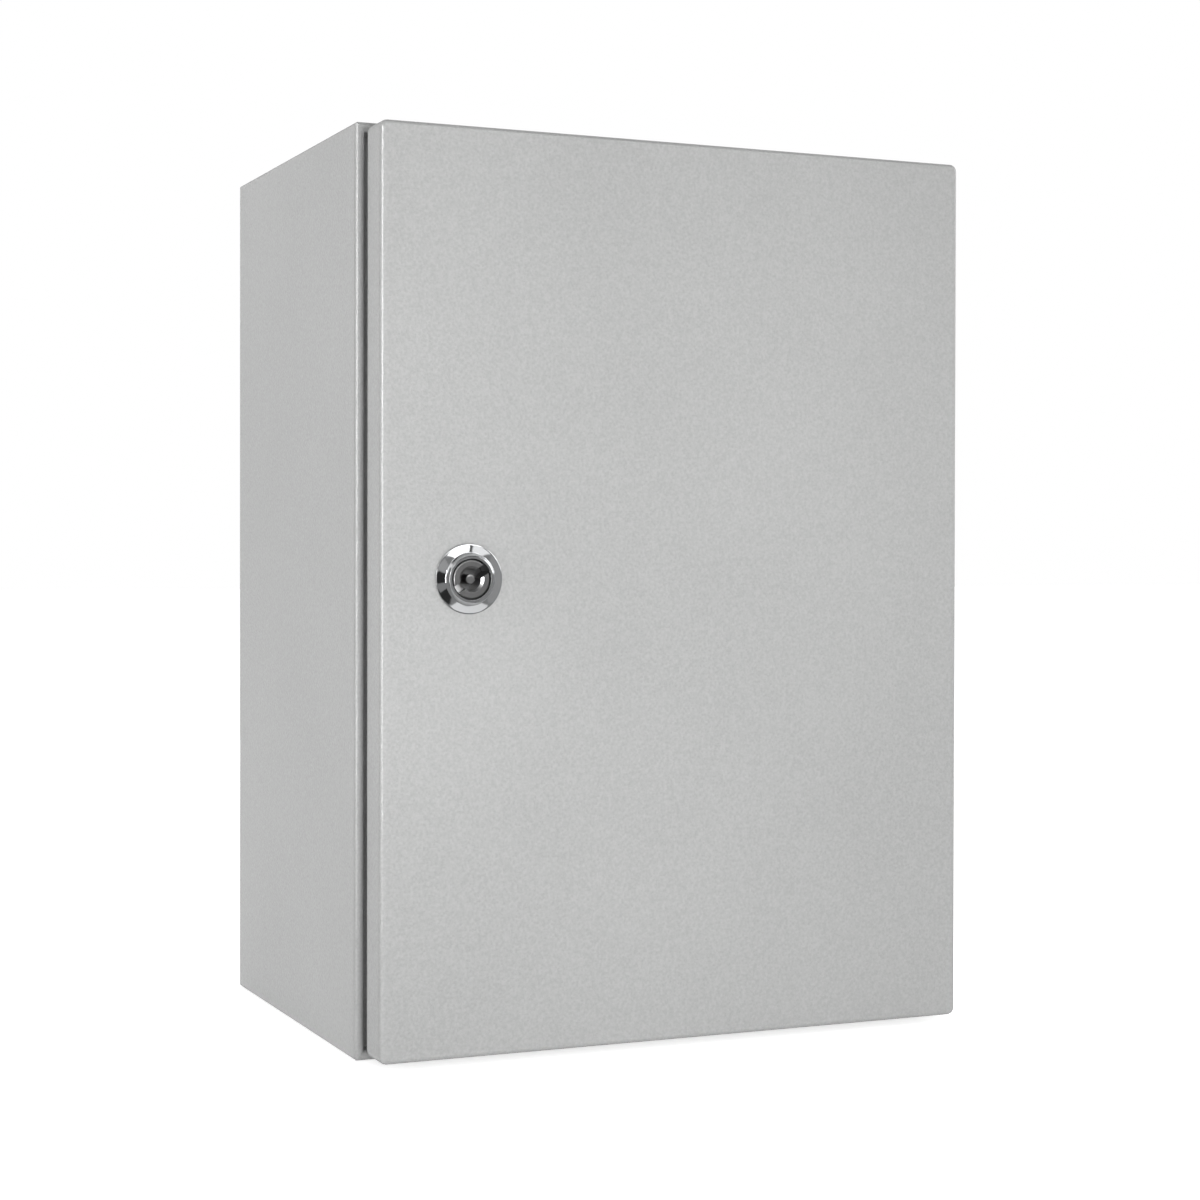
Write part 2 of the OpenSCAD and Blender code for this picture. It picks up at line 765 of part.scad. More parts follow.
body_shell();
gland_plate();
gland_gasket();
gland_studs();
gland_nuts();
plate_studs();
plate_spacers();
mounting_plate();
plate_washers();
plate_nuts();
hinge_bracket(1);  // upper_hinge_bracket
hinge_bracket(-1);  // lower_hinge_bracket
hinge_pin(1);  // upper_hinge_pin
hinge_pin(-1);  // lower_hinge_pin
hinge_screws();
hinge_nuts();
stand_up() on_right_wall() earth_stud();  // body_earth_stud
stand_up() on_right_wall() earth_washer();  // body_earth_washer
stand_up() on_right_wall() earth_nut();  // body_earth_nut
door_panel();
door_gasket();
hinge_leaf(1);  // upper_hinge_leaf
hinge_leaf(-1);  // lower_hinge_leaf
lock_housing();
lock_seal();
lock_nut();
stand_up() on_door_inside() earth_stud();  // door_earth_stud
stand_up() on_door_inside() earth_washer();  // door_earth_washer
stand_up() on_door_inside() earth_nut();  // door_earth_nut
lock_rotor();
rotor_seal();
lock_cam();
cam_washer();
cam_screw();
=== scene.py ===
"""Wall-mounted steel switchboard cabinet: finishes, fine pieces, floor, light and camera."""
import bpy
import bmesh
import json
import math
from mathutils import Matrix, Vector


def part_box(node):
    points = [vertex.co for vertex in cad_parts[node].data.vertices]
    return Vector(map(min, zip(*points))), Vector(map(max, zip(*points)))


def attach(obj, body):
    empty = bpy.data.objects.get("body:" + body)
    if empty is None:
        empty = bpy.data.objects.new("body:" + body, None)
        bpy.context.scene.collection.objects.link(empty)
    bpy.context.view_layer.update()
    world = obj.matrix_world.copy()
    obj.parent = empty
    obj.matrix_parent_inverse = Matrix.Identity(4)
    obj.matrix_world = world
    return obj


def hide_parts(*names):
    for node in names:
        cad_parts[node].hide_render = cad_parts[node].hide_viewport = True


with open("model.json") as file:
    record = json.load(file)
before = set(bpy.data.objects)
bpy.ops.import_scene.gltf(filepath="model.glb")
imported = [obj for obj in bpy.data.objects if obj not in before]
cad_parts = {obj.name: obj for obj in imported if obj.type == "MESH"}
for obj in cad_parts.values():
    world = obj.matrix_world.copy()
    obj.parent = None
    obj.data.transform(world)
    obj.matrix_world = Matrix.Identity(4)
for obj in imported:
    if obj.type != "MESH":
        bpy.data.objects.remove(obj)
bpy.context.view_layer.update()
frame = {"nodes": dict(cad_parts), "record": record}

MM = 0.001
CASE_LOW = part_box("body_shell")[0]
DOOR_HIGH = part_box("door_panel")[1]
LOCK_LOW, LOCK_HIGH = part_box("lock_housing")
LOCK_X = (LOCK_LOW.x + LOCK_HIGH.x) / 2
LOCK_Z = (LOCK_LOW.z + LOCK_HIGH.z) / 2
OUT = Vector((0, -1, 0))      # out of the wall, towards the front
DOWN = (0, 0, -1)
UP = (0, 0, 1)
BACK = (0, 1, 0)
LEFT = (-1, 0, 0)


# ---------- materials ----------

class Finish:
    """One material, built node by node."""

    def __init__(self, name, slot):
        self.material = bpy.data.materials.new(name)
        self.material.use_nodes = True
        self.slot = slot
        self.tree = self.material.node_tree
        self.shader = self.tree.nodes["Principled BSDF"]
        self.place = self.tree.nodes.new("ShaderNodeTexCoord").outputs["Object"]

    def node(self, kind, settings=None, **inputs):
        made = self.tree.nodes.new(kind)
        for key, value in (settings or {}).items():
            setattr(made, key, value)
        for key, value in inputs.items():
            self.put(made.inputs[key.replace("_", " ")], value)
        return made

    def put(self, socket, value):
        if isinstance(value, bpy.types.NodeSocket):
            self.tree.links.new(value, socket)
        else:
            socket.default_value = value

    def noise(self, scale, detail=2.0, roughness=0.5):
        return self.node(
            "ShaderNodeTexNoise", Vector=self.place, Scale=scale, Detail=detail, Roughness=roughness
        ).outputs["Fac"]

    def cells(self, scale, output="Distance"):
        return self.node(
            "ShaderNodeTexVoronoi", Vector=self.place, Scale=scale
        ).outputs[output]

    def spread(self, value, low, high, from_low=0.3, from_high=0.7):
        """Stretches value, as it runs from from_low to from_high, to the range low to high."""
        made = self.node("ShaderNodeMapRange")
        self.put(made.inputs["Value"], value)
        for key, number in zip(("From Min", "From Max", "To Min", "To Max"),
                               (from_low, from_high, low, high)):
            made.inputs[key].default_value = number
        return made.outputs["Result"]

    def maths(self, how, a, b):
        made = self.node("ShaderNodeMath", {"operation": how})
        self.put(made.inputs[0], a)
        self.put(made.inputs[1], b)
        return made.outputs[0]

    def blend(self, amount, dark, light):
        made = self.node("ShaderNodeMix", {"data_type": "RGBA"})
        self.put(made.inputs[0], amount)
        self.put(made.inputs[6], (*dark, 1))
        self.put(made.inputs[7], (*light, 1))
        return made.outputs[2]

    def relief(self, height, depth, strength=1.0, edge=0.0):
        """A bump of that depth in metres, over edges rounded to the radius edge."""
        made = self.node("ShaderNodeBump", Height=height, Distance=depth, Strength=strength)
        if edge:
            round_edge = self.node("ShaderNodeBevel", {"samples": 4}, Radius=edge)
            self.put(made.inputs["Normal"], round_edge.outputs[0])
        return made.outputs[0]

    def surface(self, **inputs):
        for key, value in inputs.items():
            self.put(self.shader.inputs[key.replace("_", " ")], value)


def powder_coat():
    f = Finish("textured powder coat, light grey", "powder_coat")
    cloud = f.noise(7, 2, 0.5)
    peel_height_and_painted_shade = f.spread(f.noise(1050, 2, 0.6), 0, 1, 0.25, 0.75)
    # The base colour follows the peel's height: darker in its hollows, as painted shade of the bumps,
    # under a faint cloudy tone that varies at random.
    tone = f.maths("ADD", f.maths("MULTIPLY", peel_height_and_painted_shade, 0.75), f.spread(cloud, 0, 0.25))
    f.surface(
        Base_Color=f.blend(tone, (0.395, 0.398, 0.396), (0.525, 0.528, 0.525)),
        Roughness=f.spread(f.noise(300, 2), 0.19, 0.24),
        Normal=f.relief(peel_height_and_painted_shade, 0.00007, 1.0, edge=0.0003),
    )
    return f


def plain_metal(name, slot, dark, light, low, high, grain, depth, strength=0.4, edge=0.00015):
    """A bare metal between two colours, with its roughness from low to high."""
    f = Finish(name, slot)
    f.surface(
        Base_Color=f.blend(f.spread(f.noise(60, 4), 0, 1), dark, light),
        Metallic=1.0,
        Roughness=f.spread(f.noise(180, 3), low, high),
        Normal=f.relief(f.noise(grain, 3), depth, strength, edge=edge),
    )
    return f


def galvanised():
    f = Finish("galvanised sheet", "galvanised_sheet")
    spangle = f.cells(130, output="Color")
    tone = f.node("ShaderNodeSeparateColor", Color=spangle).outputs[0]
    f.surface(
        Base_Color=f.blend(tone, (0.56, 0.58, 0.59), (0.66, 0.68, 0.69)),
        Metallic=1.0,
        Roughness=f.spread(tone, 0.36, 0.44, 0, 1),
        Normal=f.relief(f.noise(900, 3), 0.00002, 0.3, edge=0.0002),
    )
    return f


def foam():
    f = Finish("closed-cell foam", "foam")
    f.surface(
        Base_Color=f.blend(f.noise(300, 3), (0.022, 0.022, 0.024), (0.050, 0.050, 0.053)),
        Roughness=0.85,
        Normal=f.relief(f.cells(1700), 0.00012, 0.7),
    )
    return f


def rubber():
    f = Finish("black rubber", "seal_rubber")
    f.surface(
        Base_Color=(0.018, 0.018, 0.019, 1),
        Roughness=f.spread(f.noise(500, 3), 0.5, 0.7),
        Normal=f.relief(f.noise(2500, 2), 0.00002, 0.5),
    )
    return f


FINISH = {
    f.slot: f for f in (
        powder_coat(), galvanised(), foam(), rubber(),
        plain_metal("zinc plated steel", "zinc_plated_steel",
                    dark=(0.56, 0.57, 0.57), light=(0.70, 0.71, 0.69),
                    low=0.26, high=0.40, grain=1500, depth=0.00001),
        plain_metal("die-cast zinc, dull nickel", "zinc_casting",
                    dark=(0.36, 0.36, 0.36), light=(0.44, 0.44, 0.44),
                    low=0.30, high=0.42, grain=2600, depth=0.00002),
        plain_metal("polished chrome plate", "chrome",
                    dark=(0.64, 0.65, 0.66), light=(0.69, 0.70, 0.71),
                    low=0.05, high=0.09, grain=700, depth=0.000004, strength=0.2, edge=0.0),
    )
}


def finish_piece(piece, slot):
    piece.data.materials.clear()
    piece.data.materials.append(FINISH[slot].material)


for part in frame["record"]["subparts"]:
    finish_piece(frame["nodes"][part["node"]], part["material_slot"])


# ---------- how the pieces are made ----------

def clear():
    """Leaves nothing selected before a new piece is begun."""
    if bpy.context.object and bpy.context.object.mode != "OBJECT":
        bpy.ops.object.mode_set(mode="OBJECT")
    bpy.ops.object.select_all(action="DESELECT")


def begun(name):
    """Names the new primitive and puts its place and size into its mesh."""
    piece = bpy.context.object
    piece.name = name
    piece.data.name = name
    bpy.ops.object.transform_apply(location=True, rotation=True, scale=True)
    return piece


def choose(piece):
    clear()
    piece.select_set(True)
    bpy.context.view_layer.objects.active = piece


def block(name, place, size):
    """A box, which the lock's rotor is cut or extended with."""
    clear()
    bpy.ops.mesh.primitive_cube_add(size=1, location=place)
    bpy.context.object.scale = size
    return begun(name)


def close_up(threshold):
    """Merges doubled points, fills open ends and turns all faces outwards."""
    bpy.ops.mesh.select_all(action="SELECT")
    bpy.ops.mesh.remove_doubles(threshold=threshold)
    bpy.ops.mesh.select_all(action="SELECT")
    bpy.ops.mesh.fill_holes(sides=0)
    bpy.ops.mesh.select_all(action="SELECT")
    bpy.ops.mesh.normals_make_consistent(inside=False)
    bpy.ops.object.mode_set(mode="OBJECT")


def turn(name, rings, sides=48):
    """A turned piece that stands on its own Z axis. rings are (radius, height) in millimetres."""
    clear()
    radius, height = rings[0]
    bpy.ops.mesh.primitive_circle_add(
        vertices=sides, radius=radius * MM, location=(0, 0, height * MM)
    )
    piece = begun(name)
    bpy.ops.object.mode_set(mode="EDIT")
    bpy.ops.mesh.select_all(action="SELECT")
    for (r0, h0), (r1, h1) in zip(rings, rings[1:]):
        bpy.ops.mesh.extrude_region_move(TRANSFORM_OT_translate={"value": (0, 0, (h1 - h0) * MM)})
        bpy.ops.transform.resize(
            value=(r1 / r0, r1 / r0, r1 / r0), center_override=(0, 0, h1 * MM)
        )
    close_up(threshold=0.000001)
    return piece


THREAD_TOOTH = 0.56           # size of a thread's ridge and depth of its root, as parts of the pitch
THREAD_ROOT = 0.62


def wind_thread(name, radius, low, high, pitch, steps=28):
    """The ridge of a thread, wound round the Z axis from low to high."""
    clear()
    tooth = THREAD_TOOTH * pitch
    bpy.ops.mesh.primitive_circle_add(
        vertices=3, radius=tooth * MM, fill_type="NGON", rotation=(math.pi / 2, 0, 0)
    )
    piece = bpy.context.object
    piece.name = name
    piece.data.name = name
    bpy.ops.object.mode_set(mode="EDIT")
    bpy.ops.mesh.select_all(action="SELECT")
    bpy.ops.transform.rotate(value=math.pi / 2, orient_axis="Y", center_override=(0, 0, 0))
    reach = max(v.co.x for v in bmesh.from_edit_mesh(piece.data).verts)
    bpy.ops.transform.translate(value=(radius * MM - reach, 0, (low + tooth) * MM))
    bpy.ops.mesh.delete(type="ONLY_FACE")
    bpy.ops.object.mode_set(mode="OBJECT")
    wound = piece.modifiers.new("wound", "SCREW")
    wound.axis = "Y"
    wound.screw_offset = pitch * MM
    wound.iterations = max(1, int((high - low - 2 * tooth) / pitch))
    wound.steps = steps
    wound.render_steps = steps
    bpy.ops.object.modifier_apply(modifier="wound")
    bpy.ops.object.transform_apply(location=True, rotation=True, scale=True)
    bpy.ops.object.mode_set(mode="EDIT")
    close_up(threshold=0.0000005)
    return piece


def join(name, parts):
    choose(parts[0])
    for part in parts:
        part.select_set(True)
    bpy.ops.object.join()
    parts[0].name = name
    parts[0].data.name = name
    return parts[0]


def carve(piece, tool, how="DIFFERENCE"):
    choose(piece)
    cut = piece.modifiers.new("cut", "BOOLEAN")
    cut.operation = how
    cut.solver = "EXACT"
    cut.object = tool
    bpy.ops.object.modifier_apply(modifier="cut")
    bpy.data.objects.remove(tool)
    return piece


def lay(piece, place, along):
    """Puts a piece that stands on the origin at its place, with its Z axis along the given way."""
    choose(piece)
    piece.location = place
    piece.rotation_euler = Vector(along).to_track_quat("Z", "Y").to_euler()
    bpy.ops.object.transform_apply(location=True, rotation=True, scale=True)
    return piece


def copy_of(piece, name):
    twin = piece.copy()
    twin.data = piece.data.copy()
    twin.name = name
    twin.data.name = name
    bpy.context.scene.collection.objects.link(twin)
    return twin


def done(piece, body, slot, *nodes, smooth=32):
    choose(piece)
    bpy.ops.object.shade_smooth_by_angle(angle=math.radians(smooth))
    finish_piece(piece, slot)
    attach(piece, body)
    if nodes:
        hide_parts(*nodes)
    return piece


# ---------- lock ----------

SEAL_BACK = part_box("lock_seal")[1].y
ROSETTE_R = (LOCK_HIGH.x - LOCK_LOW.x) / 2 / MM
BARREL_BACK = (SEAL_BACK - LOCK_HIGH.y) / MM      # heights are over the door's front face
ROSETTE_TOP = (SEAL_BACK - LOCK_LOW.y) / MM
LOCK_PLACE = (LOCK_X, SEAL_BACK, LOCK_Z)
BARREL_R = 10
BARREL_FLATS = 18.4           # the barrel's width over its two flats
BARREL_FLOOR = 5              # thickness of the barrel's rear wall
THREAD_RELIEF = 0.3           # how far the barrel's core lies inside the crest of its thread
SHANK_HOLE_R = 5.1
BORE_R = 7.62
SEAL_H = 0.5
FLAT_TOP = 0.0004             # below this height in metres, the barrel gets its flats

collar_foot = SEAL_H + 0.8 + 0.9
housing = turn("lock_rosette", [
    (BARREL_R - 0.9, BARREL_BACK), (BARREL_R - THREAD_RELIEF, BARREL_BACK + 0.6),
    (BARREL_R - THREAD_RELIEF, -0.2), (BARREL_R - THREAD_RELIEF, SEAL_H), (ROSETTE_R - 0.1, SEAL_H),
    (ROSETTE_R, 0.6), (ROSETTE_R, 0.98), (ROSETTE_R - 0.06, 1.1), (ROSETTE_R - 0.2, 1.2),
    (ROSETTE_R - 0.62, 1.32), (9.86, collar_foot - 0.05), (9.74, collar_foot),
    (9.66, collar_foot + 0.08), (8.66, ROSETTE_TOP - 0.3), (8.58, ROSETTE_TOP - 0.12),
    (8.44, ROSETTE_TOP), (7.94, ROSETTE_TOP), (7.72, ROSETTE_TOP - 0.05),
    (BORE_R, ROSETTE_TOP - 0.2),
    (BORE_R, BARREL_BACK + BARREL_FLOOR), (SHANK_HOLE_R, BARREL_BACK + BARREL_FLOOR),
    (SHANK_HOLE_R, BARREL_BACK),
    (BARREL_R - 0.9, BARREL_BACK),
], sides=96)
ridge = wind_thread("barrel_thread", BARREL_R, BARREL_BACK + 0.5, 0.3, 1.5, steps=64)
housing = join("lock_rosette", [housing, ridge])
bpy.ops.object.mode_set(mode="EDIT")
for side in (-1, 1):
    flat = side * BARREL_FLATS / 2 * MM
    mesh = bmesh.from_edit_mesh(housing.data)
    for face in mesh.faces:
        face.select_set(all(v.co.z < FLAT_TOP for v in face.verts))
    bmesh.update_edit_mesh(housing.data)
    bpy.ops.mesh.bisect(
        plane_co=(flat, 0, 0), plane_no=(side, 0, 0),
        use_fill=False, clear_outer=False, clear_inner=False,
    )
    mesh = bmesh.from_edit_mesh(housing.data)
    for vert in mesh.verts:
        if vert.co.z < FLAT_TOP and side * vert.co.x > BARREL_FLATS / 2 * MM:
            vert.co.x = flat
    bmesh.update_edit_mesh(housing.data)
bpy.ops.object.mode_set(mode="OBJECT")
lay(housing, LOCK_PLACE, OUT)
done(housing, "door", "chrome", "lock_housing", smooth=24)

ROTOR_LOW, ROTOR_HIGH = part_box("lock_rotor")
rotor_top = (SEAL_BACK - ROTOR_LOW.y) / MM
rotor_back = (SEAL_BACK - ROTOR_HIGH.y) / MM
cam_front = (SEAL_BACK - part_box("lock_cam")[0].y) / MM
RING_LOW, RING_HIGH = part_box("rotor_seal")
groove = (SEAL_BACK - (RING_LOW.y + RING_HIGH.y) / 2) / MM
RING_DEPTH = 1.02             # how deep the O-ring sits in the shank
groove_r = (RING_HIGH.x - RING_LOW.x) / 2 / MM - RING_DEPTH
GROOVE_HALF = 0.55
SHANK_R = 4.92
HEAD_R = 7.5
FACE_R = 7.1                  # the head's front, inside the collar
SQUARE = 7                    # across the flats that the cam sits on
SCREW_HOLE_R = 2.04
KEY_DEPTH = 9
KEY_R = 3.95
KEY_TURN = math.radians(35)
PIN_R = 1.8
rotor = turn("lock_rotor_head", [
    (4.7, cam_front), (SHANK_R, cam_front + 0.2), (SHANK_R, groove - GROOVE_HALF),
    (groove_r, groove - GROOVE_HALF), (groove_r, groove + GROOVE_HALF),
    (SHANK_R, groove + GROOVE_HALF), (SHANK_R, BARREL_BACK + 5.1), (7.3, BARREL_BACK + 5.1),
    (HEAD_R, BARREL_BACK + 5.3), (HEAD_R, rotor_top - 1.6), (FACE_R, rotor_top - 1.2),
    (FACE_R, rotor_top - 0.34), (7.02, rotor_top - 0.22), (6.64, rotor_top),
], sides=80)
carve(rotor, turn("key_well", [(KEY_R, rotor_top - KEY_DEPTH), (KEY_R, rotor_top + 1)], sides=56))
carve(rotor, turn("key_lead_in", [(3.6, rotor_top - 1.3), (5.0, rotor_top + 0.1)], sides=56))


WING_REACH = 9                # past the head's rim, so that the wing opens through it
WING_OVER = 1.5               # the tool stands this far over the rotor's face
WING_RISE = 0.4               # a rising floor ends this far over the face


def key_wing(side, width, depth):
    """One wing of the key slot, cut from the middle outwards.

    Its floor rises to the rim if it is less deep than the well.
    """
    tall = depth + WING_OVER
    tool = block("key_wing", (side * WING_REACH / 2 * MM, 0, (rotor_top + WING_OVER - tall / 2) * MM),
                 (WING_REACH * MM, width * MM, tall * MM))
    bpy.ops.object.mode_set(mode="EDIT")
    mesh = bmesh.from_edit_mesh(tool.data)
    for vert in mesh.verts:
        outer_foot = side * vert.co.x > (WING_REACH - 1) * MM and vert.co.z < rotor_top * MM
        vert.select_set(depth < KEY_DEPTH and outer_foot)
    mesh.select_flush(True)
    bmesh.update_edit_mesh(tool.data)
    bpy.ops.transform.translate(value=(0, 0, (depth + WING_RISE) * MM))
    bpy.ops.object.mode_set(mode="OBJECT")
    tool.rotation_euler = (0, 0, KEY_TURN)
    bpy.ops.object.transform_apply(location=True, rotation=True, scale=True)
    return tool


carve(rotor, key_wing(1, 3.7, KEY_DEPTH))
carve(rotor, key_wing(-1, 3.2, 5.0))
square = block("cam_square", (0, 0, (rotor_back + cam_front + 1) / 2 * MM),
               (SQUARE * MM, SQUARE * MM, (cam_front + 1 - rotor_back) * MM))
carve(rotor, square, "UNION")
SCREW_LOW, SCREW_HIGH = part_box("cam_screw")
screw_tip = (SEAL_BACK - SCREW_LOW.y) / MM
carve(rotor, turn("screw_hole", [
    (SCREW_HOLE_R, rotor_back - 1), (SCREW_HOLE_R, screw_tip + 0.5)
], sides=28))
choose(rotor)
bpy.ops.object.mode_set(mode="EDIT")
bpy.ops.mesh.select_all(action="SELECT")
bpy.ops.mesh.remove_doubles(threshold=0.000002)
bpy.ops.mesh.select_all(action="SELECT")
bpy.ops.mesh.dissolve_limited(angle_limit=math.radians(0.05))
bpy.ops.mesh.select_all(action="SELECT")
bpy.ops.mesh.normals_make_consistent(inside=False)
bpy.ops.object.mode_set(mode="OBJECT")
pin = turn("key_pin", [
    (PIN_R, rotor_top - KEY_DEPTH - 0.5), (PIN_R, rotor_top - 1.75), (1.7, rotor_top - 1.5),
    (1.45, rotor_top - 1.34), (0.9, rotor_top - 1.3),
], sides=32)
rotor = join("lock_rotor_head", [rotor, pin])
lay(rotor, LOCK_PLACE, OUT)
done(rotor, "lock", "zinc_casting", "lock_rotor", smooth=30)

SCREW_HEAD_R = 4.0
SCREW_HEAD_H = 3
SCREW_SHANK_R = 1.98
SOCKET_R = 1.7
head_back = (SEAL_BACK - SCREW_HIGH.y) / MM
cam_screw = turn("cam_cap_screw", [
    (3.6, head_back), (3.88, head_back + 0.1), (SCREW_HEAD_R, head_back + 0.4),
    (SCREW_HEAD_R, head_back + 2.9), (3.9, head_back + SCREW_HEAD_H),
    (SCREW_SHANK_R, head_back + SCREW_HEAD_H), (SCREW_SHANK_R, screw_tip - 0.4), (1.6, screw_tip),
], sides=48)
carve(cam_screw, turn("hex_socket", [
    (SOCKET_R, head_back - 1), (SOCKET_R, head_back + 1.6)
], sides=6))
lay(cam_screw, LOCK_PLACE, OUT)
done(cam_screw, "lock", "zinc_plated_steel", "cam_screw")


# ---------- hinges ----------

PIN_LOW, PIN_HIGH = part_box("upper_hinge_pin")
pin_len = (PIN_HIGH.z - PIN_LOW.z) / MM
HINGE_PIN_R = 1.5
HINGE_DOME_R = 2.3
upper_pin = turn("upper_domed_hinge_pin", [
    (1.0, 0.0), (1.7, 0.22), (2.15, 0.6), (HINGE_DOME_R, 1.0), (HINGE_DOME_R, 1.42), (2.2, 1.5),
    (HINGE_PIN_R, 1.5), (HINGE_PIN_R, pin_len - 0.5), (1.1, pin_len),
], sides=32)
lower_pin = copy_of(upper_pin, "lower_domed_hinge_pin")
for hinge_pin, node in ((lower_pin, "lower_hinge_pin"), (upper_pin, "upper_hinge_pin")):
    low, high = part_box(node)
    lay(hinge_pin, ((low.x + high.x) / 2, (low.y + high.y) / 2, high.z), DOWN)
    done(hinge_pin, "cabinet", "zinc_plated_steel", node)

RIM_INNER = DOOR_HIGH.x - 1.5 * MM      # the inner face of the door's rim, one sheet in
BEAD_PITCH = 0.8
BEAD_RIPPLES = 13
bead_rings = [(0.3, 0.0), (0.62, 0.2)]
for ripple in range(BEAD_RIPPLES):
    foot = 0.4 + ripple * BEAD_PITCH
    bead_rings += [(0.78, foot), (0.92, foot + 0.3), (0.90, foot + 0.6)]
bead_rings += [(0.62, bead_rings[-1][1] + 0.3), (0.3, bead_rings[-1][1] + 0.5)]
weld = turn("leaf_weld_beads", bead_rings, sides=16)
welds = []
for node in ("upper_hinge_leaf", "lower_hinge_leaf"):
    low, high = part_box(node)
    for z in (low.z, high.z):
        bead = copy_of(weld, f"weld_{len(welds)}")
        welds.append(lay(bead, (RIM_INNER - 0.5 * MM, low.y + 0.6 * MM, z), BACK))
bpy.data.objects.remove(weld)
done(join("leaf_weld_beads", welds), "door", "zinc_casting", smooth=50)


# ---------- studs and screws ----------

def stud(name, radius, length, pitch, collar=None):
    """A threaded weld stud that stands on its own foot."""
    root = radius - THREAD_ROOT * pitch
    foot = [(collar, 0), (collar, 0.8), (collar - 0.2, 1.0)] if collar else [(root, 0)]
    core = turn(name, foot + [
        (root, 1.0 if collar else 0.01), (root, length - 0.55), (root - 0.5, length)
    ], sides=28)
    ridge = wind_thread(name + "_thread", radius, 1.0 if collar else 0.1, length - 0.2, pitch)
    return join(name, [core, ridge])


def set_of_studs(name, node, places, along, radius, length, pitch, body, collar=None):
    first = stud(name, radius, length, pitch, collar)
    rest = [lay(copy_of(first, f"{name}_{i}"), place, along) for i, place in enumerate(places[1:])]
    lay(first, places[0], along)
    return done(join(name, [first] + rest), body, "zinc_plated_steel", node)


def corners(node, inset):
    """The four corners of a node's box as seen from the front, each moved in by inset."""
    low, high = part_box(node)
    return [
        (x, z) for x in (low.x + inset, high.x - inset) for z in (low.z + inset, high.z - inset)
    ]


PLATE_STUD_LOW, PLATE_STUD_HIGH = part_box("plate_studs")
STUD_R = 3
EARTH_COLLAR_R = 3.8
set_of_studs(
    "plate_weld_studs", "plate_studs",
    [(x, PLATE_STUD_HIGH.y, z) for x, z in corners("plate_studs", STUD_R * MM)],
    OUT, STUD_R, (PLATE_STUD_HIGH.y - PLATE_STUD_LOW.y) / MM, 1.0, "cabinet",
)
GLAND_LOW, GLAND_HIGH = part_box("gland_studs")
GLAND_STUD_R = 2.5
gland_x = (GLAND_LOW.x + GLAND_STUD_R * MM, 0, GLAND_HIGH.x - GLAND_STUD_R * MM)
gland_y = (GLAND_LOW.y + GLAND_STUD_R * MM, GLAND_HIGH.y - GLAND_STUD_R * MM)
set_of_studs(
    "gland_weld_studs", "gland_studs", [(x, y, GLAND_LOW.z) for x in gland_x for y in gland_y],
    UP, GLAND_STUD_R, (GLAND_HIGH.z - GLAND_LOW.z) / MM, 0.8, "cabinet",
)
low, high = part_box("body_earth_stud")
set_of_studs(
    "body_earth_weld_stud", "body_earth_stud",
    [(high.x, (low.y + high.y) / 2, (low.z + high.z) / 2)],
    LEFT, STUD_R, (high.x - low.x) / MM, 1.0, "cabinet", collar=EARTH_COLLAR_R,
)
low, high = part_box("door_earth_stud")
set_of_studs(
    "door_earth_weld_stud", "door_earth_stud",
    [((low.x + high.x) / 2, low.y, (low.z + high.z) / 2)],
    BACK, STUD_R, (high.y - low.y) / MM, 1.0, "door", collar=EARTH_COLLAR_R,
)


# ---------- door gasket ----------

GASKET_LOW, GASKET_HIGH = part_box("door_gasket")
gasket_h = GASKET_HIGH.y - GASKET_LOW.y
GASKET_CORNER_R = 11
clear()
bpy.ops.mesh.primitive_plane_add(size=1, rotation=(-math.pi / 2, 0, 0), location=(
    (GASKET_LOW.x + GASKET_HIGH.x) / 2, GASKET_LOW.y, (GASKET_LOW.z + GASKET_HIGH.z) / 2
))
gasket = bpy.context.object
gasket.scale = (GASKET_HIGH.x - GASKET_LOW.x, GASKET_HIGH.z - GASKET_LOW.z, 1)
begun("door_gasket_bead")
bpy.ops.object.mode_set(mode="EDIT")
bpy.ops.mesh.select_all(action="SELECT")
bpy.ops.mesh.bevel(
    offset_type="OFFSET", offset=GASKET_CORNER_R * MM, segments=10, affect="VERTICES"
)
bpy.ops.mesh.select_all(action="SELECT")
rise = 0        # each step goes across by so many millimetres, up to that share of the height
for across, up in ((0.25, 0.34), (0.45, 0.62), (0.7, 0.83), (1.0, 0.95), (2.1, 1.0),
                   (2.1, 0.95), (1.0, 0.83), (0.7, 0.62), (0.45, 0.34), (0.25, 0)):
    bpy.ops.mesh.inset(thickness=across * MM, depth=(up - rise) * gasket_h, use_even_offset=True)
    rise = up
bpy.ops.mesh.delete(type="FACE")
bpy.ops.mesh.select_all(action="DESELECT")
bpy.ops.mesh.select_mode(type="EDGE")
bpy.ops.mesh.select_non_manifold()
bpy.ops.mesh.bridge_edge_loops()
bpy.ops.mesh.select_all(action="SELECT")
bpy.ops.mesh.normals_make_consistent(inside=False)
bpy.ops.mesh.select_mode(type="VERT")
bpy.ops.object.mode_set(mode="OBJECT")
done(gasket, "door", "foam", "door_gasket", smooth=60)


# ---------- studio ----------

FLOOR_GAP = 0.0002            # keeps the floor off the cabinet's underside
FLOOR_GLOW = 0.10             # what the floor sends to the cabinet
FLOOR_WHITE = 0.66            # what it adds to its own look

clear()
bpy.ops.mesh.primitive_plane_add(size=24, location=(0, 0, CASE_LOW.z - FLOOR_GAP))
floor = bpy.context.object
floor.name = "studio_floor"
paper = bpy.data.materials.new("white studio paper")
paper.use_nodes = True
paper_nodes = paper.node_tree.nodes
paper_face = paper_nodes["Principled BSDF"].inputs
paper_face["Base Color"].default_value = (0.97, 0.97, 0.97, 1)
paper_face["Roughness"].default_value = 0.9
paper_face["Specular IOR Level"].default_value = 0.1
paper_face["Emission Color"].default_value = (1, 1, 1, 1)
seen = paper_nodes.new("ShaderNodeLightPath").outputs["Is Camera Ray"]
lift = paper_nodes.new("ShaderNodeMapRange")
lift.inputs["To Min"].default_value = FLOOR_GLOW
lift.inputs["To Max"].default_value = FLOOR_WHITE
paper.node_tree.links.new(seen, lift.inputs["Value"])
